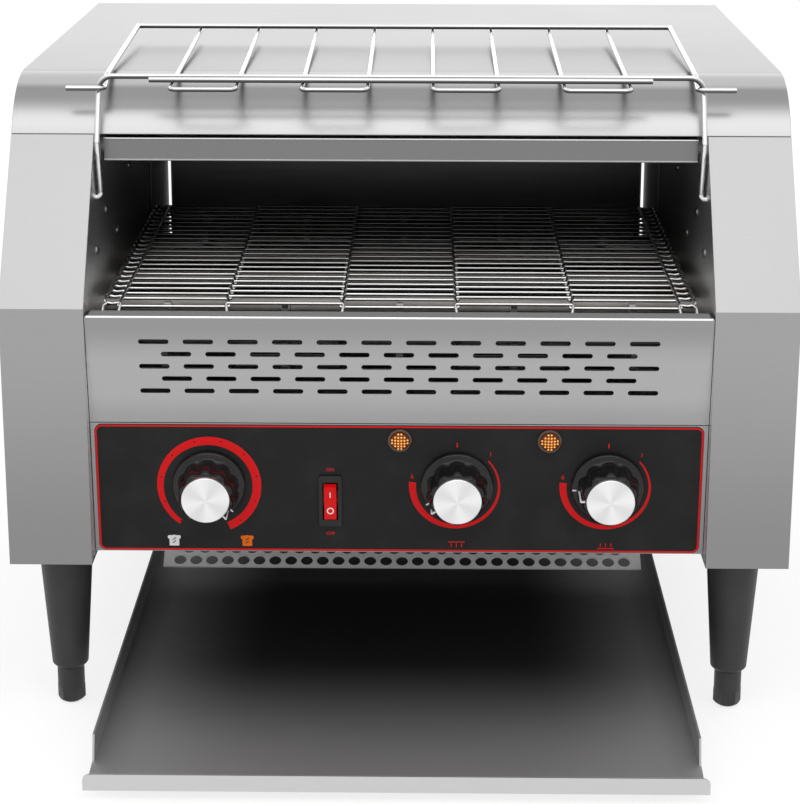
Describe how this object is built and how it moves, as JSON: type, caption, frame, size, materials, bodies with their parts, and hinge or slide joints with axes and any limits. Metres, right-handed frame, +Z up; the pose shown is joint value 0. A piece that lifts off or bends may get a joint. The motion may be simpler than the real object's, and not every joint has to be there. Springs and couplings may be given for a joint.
{
  "type": "conveyor toaster",
  "caption": "Countertop conveyor toaster: a wire belt carries bread between heaters and a slide returns the toast to a tray under the controls.",
  "frame": {"origin": "on the table, at the centre of the box that the toaster fills from above, tray lip and cable gland included", "axes": "+X to the right seen from the front, +Y towards the back, +Z up; the front with the tray faces -Y"},
  "size_m": [0.4736, 0.553, 0.3985],
  "materials": {
    "stainless": "fine horizontal brush",
    "inner_wall": "dark satin heat-proof paint",
    "overlay": "satin printed film",
    "quartz": "milky frosted",
    "ceramic": "unglazed",
    "bright_sheet": "bright mill finish",
    "tray_steel": "dark brushed",
    "belt_wire": "drawn wire, slightly heat-browned",
    "shaft_steel": "turned",
    "brass": "sintered",
    "motor_grey": "cast, satin",
    "board": "circuit board",
    "black_plastic": "satin moulded",
    "knob_cap": "spun brushed",
    "red_plastic": "translucent lit rocker",
    "amber_lens": "faceted translucent",
    "bright_wire": "polished",
    "foot_plastic": "fine moulded grain"
  },
  "bodies": {
    "casing": {"left_side_cover": "stainless", "right_side_cover": "stainless", "left_inner_frame": "inner_wall", "right_inner_frame": "inner_wall", "top_cover": "stainless", "rear_panel": "stainless", "cable_gland": "black_plastic", "vent_panel": "stainless", "control_panel": "stainless", "panel_overlay": "overlay", "control_housing": "inner_wall", "upper_heater_box": "stainless", "upper_heaters": "quartz", "lower_heaters": "quartz", "heater_end_caps": "ceramic", "lower_reflector": "stainless", "rear_chute": "bright_sheet", "chute_guides": "bright_sheet", "toast_slide": "stainless", "tray_rails": "stainless", "belt_upper_run": "belt_wire", "belt_return_run": "belt_wire", "shaft_bushes": "brass", "drive_chain": "shaft_steel", "gear_motor": "motor_grey", "speed_regulator": "board", "upper_heat_switch": "ceramic", "lower_heat_switch": "ceramic", "rocker_housing": "black_plastic", "upper_lamp": "amber_lens", "lower_lamp": "amber_lens", "terminal_block": "ceramic", "control_board": "board", "legs": "black_plastic", "leg_bolts": "shaft_steel", "casing_screws": "shaft_steel"},
    "rack": {"wire_rack": "bright_wire"},
    "tray": {"toast_tray": "tray_steel"},
    "speed_knob": {"speed_knob": "black_plastic", "speed_knob_cap": "knob_cap", "speed_spindle": "shaft_steel"},
    "upper_heat_knob": {"upper_heat_knob": "black_plastic", "upper_heat_knob_cap": "knob_cap", "upper_heat_spindle": "shaft_steel"},
    "lower_heat_knob": {"lower_heat_knob": "black_plastic", "lower_heat_knob_cap": "knob_cap", "lower_heat_spindle": "shaft_steel"},
    "drive_rocker": {"rocker_paddle": "red_plastic"},
    "front_shaft": {"drive_shaft": "shaft_steel", "drive_wheels": "shaft_steel", "driven_chain_wheel": "shaft_steel"},
    "rear_shaft": {"idler_shaft": "shaft_steel", "idler_wheels": "shaft_steel"},
    "motor_shaft": {"motor_output_shaft": "shaft_steel", "motor_chain_wheel": "shaft_steel"},
    "levelling_foot_front_left": {"foot_front_left": "foot_plastic"},
    "levelling_foot_front_right": {"foot_front_right": "foot_plastic"},
    "levelling_foot_rear_left": {"foot_rear_left": "foot_plastic"},
    "levelling_foot_rear_right": {"foot_rear_right": "foot_plastic"}
  },
  "joints": [
    {"name": "rack_tip", "type": "hinge", "parent": "casing", "child": "rack", "pos_m": [0, -0.1085, 0.316], "axis": [1, 0, 0], "range_deg": [0, 119]},
    {"name": "tray_slide", "type": "slide", "parent": "casing", "child": "tray", "axis": [0, -1, 0], "range_m": [0, 0.09]},
    {"name": "speed_dial", "type": "hinge", "parent": "casing", "child": "speed_knob", "pos_m": [-0.1143, -0.16413, 0.15067], "axis": [0, -0.9982, -0.0593], "range_deg": [-12, 285]},
    {"name": "upper_heat_dial", "type": "hinge", "parent": "casing", "child": "upper_heat_knob", "pos_m": [0.035, -0.16413, 0.15067], "axis": [0, -0.9982, -0.0593], "range_deg": [-30, 240]},
    {"name": "lower_heat_dial", "type": "hinge", "parent": "casing", "child": "lower_heat_knob", "pos_m": [0.1256, -0.16413, 0.15067], "axis": [0, -0.9982, -0.0593], "range_deg": [-10, 260]},
    {"name": "drive_switch", "type": "hinge", "parent": "casing", "child": "drive_rocker", "pos_m": [-0.0413, -0.16257, 0.14125], "axis": [-1, 0, 0], "range_deg": [0, 18]},
    {"name": "front_shaft_spin", "type": "hinge", "parent": "casing", "child": "front_shaft", "pos_m": [0, -0.137, 0.23608], "axis": [-1, 0, 0], "continuous": true},
    {"name": "rear_shaft_spin", "type": "hinge", "parent": "casing", "child": "rear_shaft", "pos_m": [0, 0.115, 0.23608], "axis": [-1, 0, 0], "continuous": true},
    {"name": "motor_shaft_spin", "type": "hinge", "parent": "casing", "child": "motor_shaft", "pos_m": [0, -0.079, 0.14808], "axis": [-1, 0, 0], "continuous": true},
    {"name": "foot_turn_front_left", "type": "hinge", "parent": "casing", "child": "levelling_foot_front_left", "pos_m": [-0.206, -0.1425, 0], "axis": [0, 0, 1], "range_deg": [0, 1080]},
    {"name": "foot_turn_front_right", "type": "hinge", "parent": "casing", "child": "levelling_foot_front_right", "pos_m": [0.206, -0.1425, 0], "axis": [0, 0, 1], "range_deg": [0, 1080]},
    {"name": "foot_turn_rear_left", "type": "hinge", "parent": "casing", "child": "levelling_foot_rear_left", "pos_m": [-0.206, 0.2305, 0], "axis": [0, 0, 1], "range_deg": [0, 1080]},
    {"name": "foot_turn_rear_right", "type": "hinge", "parent": "casing", "child": "levelling_foot_rear_right", "pos_m": [0.206, 0.2305, 0], "axis": [0, 0, 1], "range_deg": [0, 1080]}
  ],
  "couplings": [
    {"joint": "rear_shaft_spin", "follows": "front_shaft_spin", "ratio": 1},
    {"joint": "motor_shaft_spin", "follows": "front_shaft_spin", "ratio": 1}
  ]
}
